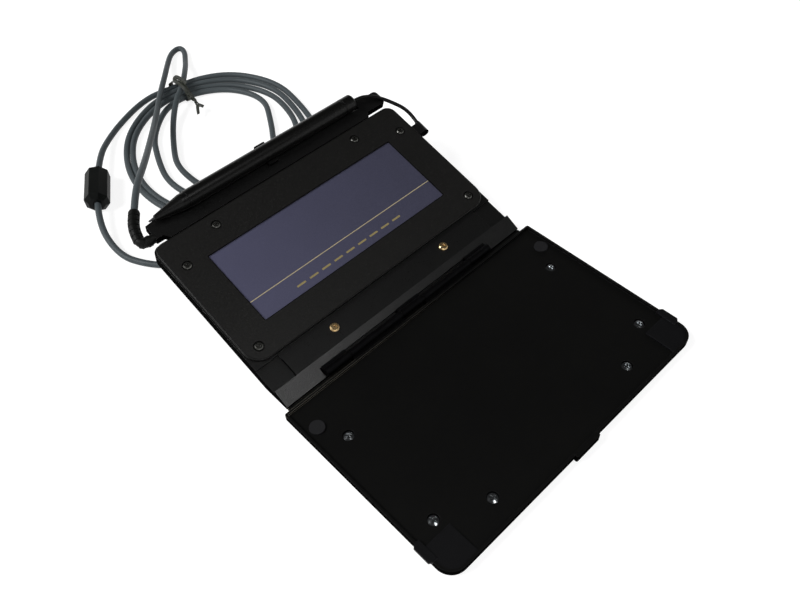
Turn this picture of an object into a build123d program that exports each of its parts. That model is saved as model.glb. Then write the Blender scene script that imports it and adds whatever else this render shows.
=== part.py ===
from build123d import *
import os
from math import cos, radians, sin, sqrt, tan

os.makedirs("parts", exist_ok=True)

# A desktop signature pad, in millimetres. X runs along the cover hinge, Y away from the
# signer, Z up, with Z = 0 on the desk. The thin pad leans back on two flip feet, its
# shallow cover lies open on the desk in front, and a pen rests in a tray at the far edge.
# Pad pieces are drawn in a level frame with Y = 0 on the hinge axis and Z = 0 on the face
# of the bezel, and the function leaned() then turns them about the hinge.

# Stance
lean = 15.9
running_gap = 0.05
slip_gap = 0.1
loose_gap = 0.3
overrun = 2.0

# Cover
cover_width = 160.2
cover_depth = 99.5
cover_corner = 8.0
cover_near_corner = 1.0
back_thickness = 1.2
back_edge_round = 0.6
panel_thickness = 1.6
rim_height = 1.2
rim_width = 1.2
cover_foot_height = 1.3
cover_foot_radius = 5.0
cover_foot_inset = 10.0
hinge_setback = 3.4
hinge_lift = 0.9
apron_gap = 0.3

# Cover fittings
bumper_radius = 3.5
bumper_height = 0.8
bumper_inset = 6.4
bumper_y = 14.4
cover_screw_head_radius = 2.5
cover_screw_head_height = 0.9
cover_screw_seat_depth = 1.0
cover_screw_shank_radius = 1.25
cover_screw_dome_rise = 0.4
cover_screw_flat_radius = 1.2
cover_screw_shares = [(0.8315, 0.2663), (0.8452, 0.7819), (0.5543, 0.8824)]
cross_length = 2.8
cross_width = 0.7
cross_depth = 0.5
pull_tab_width = 15.2
pull_tab_reach = 1.5
latch_setback = 19.8
latch_tab_length = 10.3
latch_tab_reach = 1.4
latch_plate_length = 15.6
latch_plate_setback = 3.8
latch_plate_thickness = 0.8
latch_tab_lead = 1.2

# Hinge
barrel_radius = 1.9
pin_radius = 0.9
hinge_half_length = 53.5
end_knuckle_length = 14.0
middle_knuckle_length = 14.0
knuckle_gap = 0.3
leaf_thickness = 1.0
leaf_depth = 9.0
leaf_web_top = 0.5
leaf_web_bottom = 2.1
leaf_riser_width = 1.5
base_leaf_top = 0.3

# Pad shell
shell_width = 152.8
shell_thickness = 9.0
shell_wall = 2.5
shell_floor = 1.6
shell_front = -1.1
shell_far = 99.2
shell_corner = 4.5
front_clearance = 1.2
band_far = 7.5
band_far_drop = 0.6
band_near_drop = 2.6
platform_far = 18.6
platform_half_width = 64.0
pocket_drop = 3.0
notch_half_width = 54.0
notch_depth = 4.7
notch_floor_drop = 2.9
cavity_near = 24.0
cavity_corner = 6.0

# Bezel and display stack
bezel_width = 151.6
bezel_near = 21.3
bezel_far = 98.6
bezel_corner = 9.0
bezel_far_corner = 5.0
bezel_thickness = 2.0
bezel_edge_chamfer = 0.4
screen_width = 116.0
screen_height = 42.7
screen_near = 37.1
screen_corner = 0.6
screen_drop = 0.6
glass_thickness = 0.9
glass_margin = 1.5
display_thickness = 2.0
display_margin = 1.0
sensor_thickness = 0.8
sensor_margin = 0.8
sensor_post_radius = 2.0
sensor_post_inset = 8.0
board_half_width = 28.0
board_near = 42.0
board_far = 74.0
board_thickness = 1.2
board_standoff = 1.0
standoff_radius = 1.5
standoff_inset = 3.0
chip_height = 0.7
chip_shares = [(0.25, 0.3125, -0.4286, 0.4375),
               (0.1429, 0.25, 0.3571, 0.625),
               (0.1071, 0.125, 0.4286, 0.1875)]
bezel_screw_shares = [(0.5871, 0.9120), (0.9024, 0.7788), (0.9011, 0.0957)]
bezel_screw_head_radius = 2.0
bezel_screw_head_height = 1.2
bezel_screw_seat_depth = 0.8
bezel_screw_recess_radius = 2.3
bezel_screw_shank_radius = 1.0
bezel_screw_length = 5.0
bezel_screw_edge = 0.45
hex_radius = 1.0
hex_depth = 0.7
boss_radius = 3.2
boss_hole_depth = 5.0

# Contact studs in the front platform
stud_x = 35.8
stud_y = 14.6
stud_head_radius = 2.25
stud_head_rise = 1.1
stud_round = 0.5
stud_shank_radius = 1.2
stud_shank_length = 3.0
stud_dimple_radius = 0.8
stud_dimple_depth = 0.4

# Flip feet under the far edge
foot_x = 60.0
foot_y = 84.6
foot_width = 9.0
foot_thickness = 2.8
foot_pivot_depth = 1.7
foot_pin_radius = 0.7
foot_pin_seat = 1.3
foot_splay = 5.0
foot_pad_thickness = 1.2
foot_pocket_side_gap = 0.4
foot_pocket_end_gap = 1.2
foot_pocket_roof_gap = 0.3
foot_pocket_wall = 1.6
foot_pocket_roof = 1.0
foot_reach_spare = 3.0
foot_grip_depth = 0.4
foot_grip_width = 1.0
foot_grip_count = 3
foot_grip_pitch = 2.2

# Front rubber feet
front_foot_length = 34.0
front_foot_width = 9.0
front_foot_x = 50.0
front_foot_y = 6.5

# Pen tray and clip
tray_y = 110.6
tray_axis_height = 2.0
tray_groove_radius = 4.8
tray_bottom = -4.6
tray_near_top = -0.8
tray_far_top = 0.8
tray_near = 99.2
tray_far = 116.7
tray_wall_left = -47.7
tray_wall_right = 59.0
tray_body_left = -65.0
tray_body_right = 61.5
tray_shoulder = 2.0
tongue_setback = 11.9
tongue_left = -71.0
tongue_right = 76.6
tongue_right_setback = 2.8
tongue_round = 2.2
wall_taper_left = -57.0
wall_taper_setback = 1.0
wall_foot_left = -64.0
wall_foot_setback = 4.6
nose_groove_end = -66.0
nose_groove_radius = 1.9
gland_block_width = 7.0
gland_setback = 3.0
gland_block_bottom = -5.2
lug_tongue_width = 10.0
lug_tongue_thickness = 2.0
lug_tongue_x = 30.0
lug_tongue_top = -3.5
clip_x = 0.8
clip_width = 6.0
clip_wall = 1.4
clip_floor = 1.0
clip_far_top = 2.2
clip_near_top = 0.6
clip_far_reach = 0.4

# Pen
pen_radius = 4.5
pen_left = -47.7
pen_right = 59.0
pen_cap_length = 8.0
pen_cap_round = 0.8
pen_ring_radius = 4.2
pen_ring_width = 1.2
pen_nose_length = 18.0
pen_nose_end_radius = 1.4
pen_nose_shoulder = 3.0
pen_tip_length = 3.2
pen_tip_radius = 0.8
pen_tip_end_radius = 0.4

# Pen tether and its anchor on the pad's right side
tether_radius = 1.0
anchor_reach = 4.7
anchor_y = 74.5
anchor_z = -4.0
anchor_length = 8.0
anchor_root_radius = 2.7
anchor_end_radius = 1.4
anchor_turn = 13.0
tether_first_run = 5.4
tether_bow = 1.2
tether_turn_in = 1.8
anchor_block_length = 6.5
anchor_block_height = 4.6

# Cable, its boot, its bead, its tie and its plug
cable_radius = 1.75
boot_radius = 2.45
boot_rib_radius = 2.8
boot_rib_width = 2.0
boot_rib_pitch = 2.9
boot_bend = 2.6
boot_height = -3.0
boot_inset = 2.4
boot_steps = [(0.0, 0.0), (-7.0, 0.0), (-4.2, 10.4), (1.4, 18.0)]
bead_radius = 6.3
bead_length = 27.0
bead_chamfer = 2.2
bead_x = -63.9
bead_y = 185.4
bead_direction = (-0.502, -0.865)
tie_x = 21.5
tie_near_slack = 2.7
tie_far_slack = 0.6
tie_top = 10.1
tie_width = 3.4
tie_thickness = 0.4
tie_corner = 2.0
tie_floor_gap = 0.05
tie_twist_radius = 0.8
tie_twist_step = (-1.7, -11.5, -3.1)
tie_whisker_radius = 0.45
tie_whisker_steps = [(-2.0, -3.5, -1.6), (1.8, -3.2, -0.6)]
plug_x = -37.0
plug_y = 101.0
plug_relief_length = 11.0
plug_relief_radius = 2.8
plug_body_length = 26.0
plug_body_width = 15.6
plug_body_height = 8.0
plug_body_round = 1.2
plug_shell_length = 12.0
plug_shell_width = 12.0
plug_shell_height = 4.5
plug_shell_wall = 0.4

# Coil of cable, lying flat: its points lie on rays from its middle, twelve to a turn, the
# first to the left and the rest anticlockwise, and the table gives how far out each is
coil_height = 2.25
coil_middle = (12.0, 165.0)
coil_first_ray = 180.0
coil_ray_step = 30.0
coil_start_heading = 262.0
coil_end_heading = 180.0
coil_reaches = [32.4, 35.5, 38.0, 35.0, 28.0, 25.0, 29.5, 45.6, 57.8, 61.8,
                50.3, 42.3, 42.4, 44.5, 45.5, 40.5, 36.0, 39.0, 44.3, 54.5, 63.8, 67.3,
                60.8, 54.0, 51.9, 53.0, 52.0, 46.0, 42.5, 45.0, 48.8, 60.2, 69.8, 72.2,
                65.0, 58.3, 56.1, 57.6, 57.0, 51.5, 48.0, 50.5, 53.3, 65.2, 75.8, 77.8]

# Sizes worked out from those above
rim_top = cover_foot_height + back_thickness + panel_thickness + rim_height
panel_top = rim_top - rim_height
back_top = cover_foot_height + back_thickness
hinge_height = rim_top + hinge_lift
cover_near_y = -hinge_setback
cover_far_y = cover_near_y - cover_depth
cover_half = cover_width / 2
bumper_x = cover_half - bumper_inset
latch_inner_x = cover_half - latch_plate_length
latch_near = cover_depth - latch_setback
latch_plate_near = latch_near + latch_plate_setback
tongue_far = tray_near + tongue_setback
tongue_right_near = tray_near + tongue_right_setback
gland_block_near = tray_near + gland_setback
shell_half = shell_width / 2
anchor_x = shell_half + anchor_reach
shell_bottom = -shell_thickness
shell_floor_top = shell_bottom + shell_floor
shell_rim = -bezel_thickness
screen_far = screen_near + screen_height
glass_top = -screen_drop
glass_bottom = glass_top - glass_thickness
display_bottom = glass_bottom - display_thickness
sensor_bottom = display_bottom - sensor_thickness


def box(x0, x1, y0, y1, z0, z1):
    """A box between two corners."""
    return Pos((x0 + x1) / 2, (y0 + y1) / 2, (z0 + z1) / 2) * Box(x1 - x0, y1 - y0, z1 - z0)


def rod_x(radius, x0, x1, y, z):
    """A round rod along X."""
    return Pos((x0 + x1) / 2, y, z) * Rot(0, 90, 0) * Cylinder(radius, x1 - x0)


def rod_y(radius, x, y0, y1, z):
    """A round rod along Y."""
    return Pos(x, (y0 + y1) / 2, z) * Rot(90, 0, 0) * Cylinder(radius, y1 - y0)


def rod_z(radius, x, y, z0, z1):
    """A round rod along Z."""
    return Pos(x, y, (z0 + z1) / 2) * Cylinder(radius, z1 - z0)


def cone_x(radius0, radius1, x0, x1, y, z):
    """A round taper along X, radius0 at x0."""
    return Pos((x0 + x1) / 2, y, z) * Rot(0, 90, 0) * Cone(radius0, radius1, x1 - x0)


def side_profile(points, x0, x1):
    """A (Y, Z) outline run along X."""
    outline = Plane.YZ.offset(x0) * Polygon(*points, align=None)
    return extrude(outline, amount=x1 - x0, dir=(1, 0, 0))


def plan_profile(points, z0, z1):
    """An (X, Y) outline run up Z."""
    outline = Plane.XY.offset(z0) * Polygon(*points, align=None)
    return extrude(outline, amount=z1 - z0, dir=(0, 0, 1))


def plate(half, y0, y1, z0, z1, radius_low, radius_high):
    """A plate centred on X = 0 with its low-Y and high-Y corners rounded."""
    solid = box(-half, half, y0, y1, z0, z1)
    uprights = solid.edges().filter_by(Axis.Z).sort_by(Axis.Y)
    solid = fillet(uprights[:2], radius_low)
    uprights = solid.edges().filter_by(Axis.Z).sort_by(Axis.Y)
    return fillet(uprights[-2:], radius_high)


def both_sides(places):
    """Each place and its mirror image across X = 0."""
    return [(side * x, y) for x, y in places for side in (-1, 1)]


def leaned(shape):
    """Turns a pad piece from its level frame to its place."""
    return Location((0, 0, hinge_height), (lean, 0, 0)) * shape


def leaned_point(x, y, z):
    """The place of a point of the level pad frame."""
    turned_y = y * cos(radians(lean)) - z * sin(radians(lean))
    turned_z = y * sin(radians(lean)) + z * cos(radians(lean))
    return Vector(x, turned_y, hinge_height + turned_z)


def bend_radii(points, share=0.45):
    """A radius for each bend: a share of its shorter run over the tangent of half the turn."""
    radii = []
    for before, here, after in zip(points, points[1:], points[2:]):
        arriving = here - before
        leaving = after - here
        half_turn = radians(arriving.get_angle(leaving) / 2)
        radii.append(share * min(arriving.length, leaving.length) / tan(half_turn))
    return radii


def tube(name, points, radius):
    """A round tube along straight runs joined by tangent arcs."""
    radii = bend_radii(points)
    path = FilletPolyline(*points, radius=radii)
    section = Plane(origin=path @ 0, z_dir=path % 0) * Circle(radius)
    solid = sweep(section, path=path)
    expected = section.area * path.length
    print(name, "length", round(path.length, 1), "tightest bend", round(min(radii), 1),
          "volume over section times length", round(solid.volume / expected, 4))
    return solid


nodes = {}


# Cover: outer back, inner panel with its rim, and what is fixed to them

def screw_hole_places():
    """Cover screw centres in the place where the open cover lies."""
    return both_sides([(across * cover_half, cover_near_y - back * cover_depth)
                       for across, back in cover_screw_shares])


def apron_edge():
    """Where the strip under the hinge stops, just short of the pad's sloping front."""
    front = leaned_point(0, shell_front, 0)
    return front.Y + (front.Z - back_top) * tan(radians(lean)) - apron_gap


def make_cover_back():
    back = plate(cover_half, cover_far_y, cover_near_y, cover_foot_height, back_top,
                 cover_corner, cover_near_corner)
    rim_edges = back.faces().sort_by(Axis.Z)[0].outer_wire().edges()
    back = chamfer(rim_edges, back_edge_round)
    apron = box(-shell_half, shell_half, cover_near_y - 2 * back_edge_round, apron_edge(),
                cover_foot_height, back_top)
    back = back + apron
    for x, y in screw_hole_places():
        hole = rod_z(cover_screw_shank_radius + slip_gap, x, y,
                     cover_foot_height - overrun, back_top + overrun)
        back = back - hole
    return back


def make_cover_panel():
    panel = plate(cover_half, cover_far_y, cover_near_y, back_top, rim_top,
                  cover_corner, cover_near_corner)
    hollow = plate(cover_half - rim_width, cover_far_y + rim_width, cover_near_y - rim_width,
                   panel_top, rim_top + overrun,
                   cover_corner - rim_width, cover_near_corner / 2)
    panel = panel - hollow
    tab_slot = box(-pull_tab_width / 2, pull_tab_width / 2,
                   cover_far_y - overrun, cover_far_y + rim_width, panel_top, rim_top + overrun)
    panel = panel - tab_slot
    latch_y = cover_near_y - latch_near
    for side in (-1, 1):
        slot = box(cover_half - rim_width, cover_half + overrun,
                   latch_y - latch_tab_length, latch_y, panel_top, rim_top + overrun)
        panel = panel - (slot if side > 0 else mirror(slot, Plane.YZ))
    for x, y in screw_hole_places():
        panel = panel - rod_z(cover_screw_shank_radius + slip_gap, x, y,
                              back_top - overrun, rim_top)
        panel = panel - rod_z(cover_screw_head_radius + slip_gap, x, y,
                              panel_top - cover_screw_seat_depth, rim_top)
    for x0, x1 in cover_knuckle_spans():
        panel = panel - box(x0 - slip_gap, x1 + slip_gap,
                            cover_near_y - leaf_depth - slip_gap, cover_near_y + overrun,
                            back_top - overrun, back_top + leaf_thickness)
    return panel


def make_cover_screws():
    screws = []
    seat = panel_top - cover_screw_seat_depth
    for x, y in screw_hole_places():
        head_top = seat + cover_screw_head_height
        head = rod_z(cover_screw_head_radius, x, y, seat, head_top - cover_screw_dome_rise)
        head = head + Pos(x, y, head_top - cover_screw_dome_rise / 2) * Cone(
            cover_screw_head_radius, cover_screw_flat_radius, cover_screw_dome_rise)
        shank = rod_z(cover_screw_shank_radius, x, y, cover_foot_height + slip_gap, seat)
        bar = Pos(x, y, head_top) * Box(cross_length, cross_width, 2 * cross_depth)
        cross = bar + Pos(x, y, head_top) * Box(cross_width, cross_length, 2 * cross_depth)
        screws.append(head + shank - cross)
    return Compound(screws)


def make_cover_bumpers():
    y = cover_near_y - bumper_y
    pads = [rod_z(bumper_radius, side * bumper_x, y, panel_top, panel_top + bumper_height)
            for side in (-1, 1)]
    return Compound(pads)


def make_cover_feet():
    far = cover_far_y + cover_foot_inset
    near = cover_near_y - cover_foot_inset
    x = cover_half - cover_foot_inset
    feet = [rod_z(cover_foot_radius, side * x, y, 0, cover_foot_height)
            for side in (-1, 1) for y in (far, near)]
    return Compound(feet)


def make_pull_tab():
    half = pull_tab_width / 2 - slip_gap / 2
    root = box(-half, half, cover_far_y, cover_far_y + rim_width - slip_gap, panel_top, rim_top)
    lip = box(-half, half, cover_far_y - pull_tab_reach, cover_far_y, cover_foot_height, rim_top)
    corners = lip.edges().filter_by(Axis.Z).sort_by(Axis.Y)[:2]
    lip = fillet(corners, pull_tab_reach / 2)
    return root + lip


def make_corner_latch(side):
    y = cover_near_y - latch_near
    inner = cover_half - rim_width
    plate_far = cover_far_y + rim_width
    near = cover_near_y - latch_plate_near
    base = box(latch_inner_x, inner, plate_far, near, panel_top, panel_top + latch_plate_thickness)
    outer_corner = base.edges().filter_by(Axis.Z).sort_by(Axis.X)[-2:].sort_by(Axis.Y)[0]
    base = fillet(outer_corner, cover_corner - rim_width)
    points = [(inner - rim_width, y - slip_gap),
              (cover_half, y - slip_gap),
              (cover_half + latch_tab_reach, y - slip_gap - latch_tab_lead),
              (cover_half + latch_tab_reach, y - latch_tab_length + latch_tab_lead),
              (cover_half, y - latch_tab_length + slip_gap),
              (inner - rim_width, y - latch_tab_length + slip_gap)]
    tab = plan_profile(points, panel_top, rim_top)
    latch = base + tab
    return latch if side > 0 else mirror(latch, Plane.YZ)


# Hinge: knuckles of the two leaves take turns along one pin

def cover_knuckle_spans():
    """Stretches of the hinge line that the cover leaf fills."""
    outer = hinge_half_length - end_knuckle_length - knuckle_gap
    inner = middle_knuckle_length / 2 + knuckle_gap
    return [(-outer, -inner), (inner, outer)]


def base_knuckle_spans():
    """Stretches of the hinge line that the pad leaf fills."""
    inner_end = hinge_half_length - end_knuckle_length
    half_middle = middle_knuckle_length / 2
    return [(-hinge_half_length, -inner_end), (-half_middle, half_middle),
            (inner_end, hinge_half_length)]


def make_cover_leaf():
    leaves = []
    for x0, x1 in cover_knuckle_spans():
        barrel = rod_x(barrel_radius, x0, x1, 0, hinge_height)
        web_top = hinge_height - leaf_web_top
        web_bottom = hinge_height - leaf_web_bottom
        riser_far = cover_near_y + leaf_riser_width
        points = [(cover_near_y - leaf_depth, back_top),
                  (riser_far, back_top),
                  (riser_far, web_bottom),
                  (0, web_bottom),
                  (0, web_top),
                  (cover_near_y, web_top),
                  (cover_near_y, back_top + leaf_thickness),
                  (cover_near_y - leaf_depth, back_top + leaf_thickness)]
        leaf = barrel + side_profile(points, x0, x1)
        bore = rod_x(pin_radius + running_gap, x0 - overrun, x1 + overrun, 0, hinge_height)
        leaves.append(leaf - bore)
    return Compound(leaves)


def make_base_leaf():
    leaves = []
    wall = shell_front + notch_depth
    for x0, x1 in base_knuckle_spans():
        barrel = rod_x(barrel_radius, x0, x1, 0, 0)
        foot = box(x0, x1, 0, wall, -notch_floor_drop, -base_leaf_top)
        bore = rod_x(pin_radius + running_gap, x0 - overrun, x1 + overrun, 0, 0)
        leaves.append(barrel + foot - bore)
    return Compound(leaves)


# Pad shell

def bezel_screw_places():
    """Bezel screw centres in the pad's level frame."""
    depth = bezel_far - bezel_near
    return both_sides([(across * bezel_width / 2, bezel_near + back * depth)
                       for across, back in bezel_screw_shares])


def foot_pocket(margin, roof):
    """The hollow for the right-hand folded foot, or the block of shell around it."""
    outer = foot_x + foot_thickness / 2 + foot_pocket_side_gap + margin
    inner = foot_x - foot_length() - foot_pocket_end_gap - margin
    half = foot_width / 2 + foot_pocket_side_gap + margin
    top = shell_bottom + foot_pivot_depth + foot_thickness / 2 + foot_pocket_roof_gap + roof
    return box(inner, outer, foot_y - half, foot_y + half, shell_bottom - overrun, top)


def foot_length():
    """Longest reach of a foot from its pivot, from the height of the pivot over the desk."""
    pivot = leaned_point(0, foot_y + foot_width / 2, shell_bottom + foot_pivot_depth)
    return pivot.Z / cos(radians(lean)) / cos(radians(foot_splay)) + foot_thickness / 2


def mirrored_pair(shape):
    """A right-hand shape and its left-hand twin."""
    return [shape, mirror(shape, Plane.YZ)]


def make_base_tray():
    side = [(shell_front, -band_near_drop),
            (band_far, -band_far_drop),
            (platform_far, -band_far_drop),
            (platform_far, shell_rim),
            (shell_far, shell_rim),
            (shell_far, shell_bottom),
            (shell_front, shell_bottom)]
    shell = side_profile(side, -shell_half, shell_half)
    uprights = shell.edges().filter_by(Axis.Z).sort_by(Axis.Y)[-2:]
    shell = fillet(uprights, shell_corner)

    for hollow in mirrored_pair(box(platform_half_width, shell_half + overrun,
                                    band_far, platform_far + overrun,
                                    -pocket_drop, overrun)):
        shell = shell - hollow

    cavity = plate(shell_half - shell_wall, cavity_near, shell_far - shell_wall,
                   shell_floor_top, overrun, cavity_corner, cavity_corner)
    for block in mirrored_pair(foot_pocket(foot_pocket_wall, foot_pocket_roof)):
        cavity = cavity - block
    for x, y in bezel_screw_places():
        cavity = cavity - rod_z(boss_radius, x, y, shell_bottom, overrun)
    for x in (-board_half_width + standoff_inset, board_half_width - standoff_inset):
        for y in (board_near + standoff_inset, board_far - standoff_inset):
            cavity = cavity - rod_z(standoff_radius, x, y, shell_bottom,
                                    shell_floor_top + board_standoff)
    post_x = screen_width / 2 - sensor_post_inset
    for x in (-post_x, post_x):
        cavity = cavity - rod_z(sensor_post_radius, x, screen_near + sensor_post_inset,
                                shell_bottom, sensor_bottom)
    shell = shell - cavity

    for hollow in mirrored_pair(foot_pocket(0, 0)):
        shell = shell - hollow
    for x, y in bezel_screw_places():
        shell = shell - rod_z(bezel_screw_shank_radius + slip_gap, x, y,
                              shell_rim - boss_hole_depth, overrun)
    for x in (-stud_x, stud_x):
        shell = shell - rod_z(stud_shank_radius + slip_gap, x, stud_y,
                              -band_far_drop - stud_shank_length - slip_gap, overrun)
    for x in (-foot_x, foot_x):
        half = foot_width / 2 + foot_pocket_side_gap + foot_pin_seat
        shell = shell - rod_y(foot_pin_radius + running_gap, x, foot_y - half, foot_y + half,
                              shell_bottom + foot_pivot_depth)
    for x in (-lug_tongue_x, lug_tongue_x):
        half = lug_tongue_width / 2 + slip_gap
        shell = shell - box(x - half, x + half, shell_far - shell_wall, shell_far + overrun,
                            lug_tongue_top - lug_tongue_thickness - slip_gap,
                            lug_tongue_top + slip_gap)
    notch = box(-notch_half_width, notch_half_width, shell_front - overrun,
                shell_front + notch_depth, -notch_floor_drop, overrun)
    shell = leaned(shell - notch)
    desk_side = box(-shell_width, shell_width, -shell_far, 2 * shell_far,
                    -2 * shell_thickness, front_clearance)
    return shell - desk_side


def make_face_plate():
    face = plate(bezel_width / 2, bezel_near, bezel_far, -bezel_thickness, 0,
                 bezel_corner, bezel_far_corner)
    rim_edges = face.faces().sort_by(Axis.Z)[-1].outer_wire().edges()
    face = chamfer(rim_edges, bezel_edge_chamfer)
    window = plate(screen_width / 2, screen_near, screen_far, -2 * bezel_thickness, overrun,
                   screen_corner, screen_corner)
    rebate_half = screen_width / 2 + glass_margin + slip_gap
    rebate = box(-rebate_half, rebate_half,
                 screen_near - glass_margin - slip_gap, screen_far + glass_margin + slip_gap,
                 -2 * bezel_thickness, -screen_drop)
    face = face - window - rebate
    for x, y in bezel_screw_places():
        face = face - rod_z(bezel_screw_shank_radius + slip_gap, x, y,
                            -2 * bezel_thickness, overrun)
        face = face - rod_z(bezel_screw_recess_radius, x, y, -bezel_screw_seat_depth, overrun)
    return face


def make_screen_glass():
    half = screen_width / 2 + glass_margin
    return box(-half, half, screen_near - glass_margin, screen_far + glass_margin,
               glass_bottom, glass_top)


def make_display_module():
    half = screen_width / 2 + display_margin
    return box(-half, half, screen_near - display_margin, screen_far + display_margin,
               display_bottom, glass_bottom)


def make_pen_sensor_board():
    half = screen_width / 2 + sensor_margin
    return box(-half, half, screen_near - sensor_margin, screen_far + sensor_margin,
               sensor_bottom, display_bottom)


def make_controller_board():
    low = shell_floor_top + board_standoff
    board = box(-board_half_width, board_half_width, board_near, board_far,
                low, low + board_thickness)
    board_depth = board_far - board_near
    for long_share, wide_share, across_share, back_share in chip_shares:
        half_length = long_share * board_half_width
        half_width = wide_share * board_depth / 2
        x = across_share * board_half_width
        y = board_near + back_share * board_depth
        chip = box(x - half_length, x + half_length, y - half_width, y + half_width,
                   low + board_thickness, low + board_thickness + chip_height)
        board = board + chip
    return board


def make_bezel_screws():
    screws = []
    for x, y in bezel_screw_places():
        low = -bezel_screw_seat_depth
        top = low + bezel_screw_head_height
        head = rod_z(bezel_screw_head_radius, x, y, low, top)
        head = chamfer(head.edges().filter_by(GeomType.CIRCLE).sort_by(Axis.Z)[-1],
                       bezel_screw_edge)
        shank = rod_z(bezel_screw_shank_radius, x, y, low - bezel_screw_length, low)
        socket = Pos(x, y, top - hex_depth) * extrude(RegularPolygon(hex_radius, 6),
                                                      amount=hex_depth + overrun)
        screws.append(head + shank - socket)
    return Compound(screws)


def make_contact_studs():
    studs = []
    for x in (-stud_x, stud_x):
        low = -band_far_drop
        top = low + stud_head_rise
        head = rod_z(stud_head_radius, x, stud_y, low, top)
        head = chamfer(head.edges().filter_by(GeomType.CIRCLE).sort_by(Axis.Z)[-1], stud_round)
        shank = rod_z(stud_shank_radius, x, stud_y, low - stud_shank_length, low)
        dimple = rod_z(stud_dimple_radius, x, stud_y, top - stud_dimple_depth, top + overrun)
        studs.append(head + shank - dimple)
    return Compound(studs)


# Flip feet, drawn for the right side and mirrored for the left

def foot_blank(z0, z1):
    """The right-hand foot's slab in place, from one height over the desk to another."""
    reach = foot_length() + foot_reach_spare
    slab = box(-foot_thickness / 2, foot_thickness / 2, -foot_width / 2, foot_width / 2,
               -reach, 0)
    eye = rod_y(foot_thickness / 2, 0, -foot_width / 2, foot_width / 2, 0)
    foot = slab + eye
    foot = Pos(foot_x, foot_y, shell_bottom + foot_pivot_depth) * Rot(0, -foot_splay, 0) * foot
    foot = leaned(foot)
    keep = box(0, 2 * foot_x, 0, 2 * foot_y, z0, z1)
    return foot & keep


def make_rear_foot():
    foot = foot_blank(foot_pad_thickness, 2 * shell_far)
    pin = rod_y(foot_pin_radius + running_gap, foot_x, foot_y - foot_width, foot_y + foot_width,
                shell_bottom + foot_pivot_depth)
    foot = foot - leaned(pin)
    start = foot_length() / 2
    for index in range(foot_grip_count):
        depth = start + index * foot_grip_pitch
        groove = box(foot_thickness / 2 - foot_grip_depth, foot_thickness,
                     -foot_width, foot_width, -depth - foot_grip_width, -depth)
        groove = Pos(foot_x, foot_y, shell_bottom + foot_pivot_depth) * Rot(0, -foot_splay, 0) * groove
        foot = foot - leaned(groove)
    return foot


def make_foot_pins():
    half = foot_width / 2 + foot_pocket_side_gap + foot_pin_seat - slip_gap
    return Compound([rod_y(foot_pin_radius, x, foot_y - half, foot_y + half,
                           shell_bottom + foot_pivot_depth) for x in (-foot_x, foot_x)])


def make_front_feet():
    feet = []
    for x in (-front_foot_x, front_foot_x):
        foot = box(x - front_foot_length / 2, x + front_foot_length / 2,
                   front_foot_y - front_foot_width / 2, front_foot_y + front_foot_width / 2,
                   0, front_clearance)
        feet.append(fillet(foot.edges().filter_by(Axis.Z), front_foot_width / 4))
    return Compound(feet)


# Pen tray, clip and pen

def make_pen_tray():
    gland_right = tongue_left + gland_block_width
    outline = [(tray_body_left, tray_near),
               (tray_body_right, tray_near),
               (tray_body_right + tray_shoulder, tongue_right_near),
               (tongue_right, tongue_right_near),
               (tongue_right, tongue_far),
               (tray_wall_right, tongue_far),
               (tray_wall_right, tray_far),
               (tray_wall_left, tray_far),
               (wall_taper_left, tray_far - wall_taper_setback),
               (wall_foot_left, tray_far - wall_foot_setback),
               (tongue_left, tongue_far),
               (tongue_left, gland_block_near),
               (tray_body_left - tray_shoulder, gland_block_near)]
    tray = plan_profile(outline, tray_bottom, tray_near_top)
    ends = [edge for edge in tray.edges().filter_by(Axis.Z)
            if edge.center().X > tongue_right - tongue_round]
    tray = fillet(ends, tongue_round)
    wall = box(tray_wall_left, tray_wall_right, tray_y, tray_far, tray_bottom, tray_far_top)
    gland = box(tongue_left, gland_right, gland_block_near, tongue_far,
                gland_block_bottom, tray_near_top)
    tray = tray + wall + gland
    groove_left = pen_left - pen_nose_shoulder - loose_gap
    groove = rod_x(tray_groove_radius, groove_left, tray_wall_right + overrun,
                   tray_y, tray_axis_height)
    nose = cone_x(nose_groove_radius, tray_groove_radius, nose_groove_end,
                  groove_left, tray_y, tray_axis_height)
    tray = tray - groove - nose
    for x in (-lug_tongue_x, lug_tongue_x):
        half = lug_tongue_width / 2
        tray = tray + box(x - half, x + half, shell_far - shell_wall + slip_gap, tray_near,
                          lug_tongue_top - lug_tongue_thickness, lug_tongue_top)
    half = clip_width / 2 + running_gap
    seat = box(clip_x - half, clip_x + half, tray_y - clip_outer_near() - running_gap,
               tray_far + overrun, clip_bottom() - running_gap, tray_axis_height + overrun)
    return tray - seat


def clip_outer_near():
    """How far the clip's near arm stands from the pen's axis."""
    return tray_groove_radius + clip_wall


def clip_bottom():
    """Underside of the clip."""
    return tray_axis_height - tray_groove_radius - clip_floor


def make_pen_clip():
    x0 = clip_x - clip_width / 2
    x1 = clip_x + clip_width / 2
    near = tray_y - clip_outer_near()
    far = tray_far + clip_far_reach
    body = box(x0, x1, near, far, clip_bottom(), clip_far_top)
    near_cut = box(x0 - overrun, x1 + overrun, near - overrun, tray_y,
                   clip_near_top, clip_far_top + overrun)
    groove = rod_x(tray_groove_radius, x0 - overrun, x1 + overrun, tray_y, tray_axis_height)
    body = body - near_cut - groove
    tops = body.edges().filter_by(Axis.X).sort_by(Axis.Z)[-2:]
    outer_top = tops.sort_by(Axis.Y)[-1]
    return fillet(outer_top, clip_far_reach)


def make_pen_barrel():
    end = pen_right - pen_cap_length
    return rod_x(pen_radius, pen_left, end, tray_y, tray_axis_height)


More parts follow.
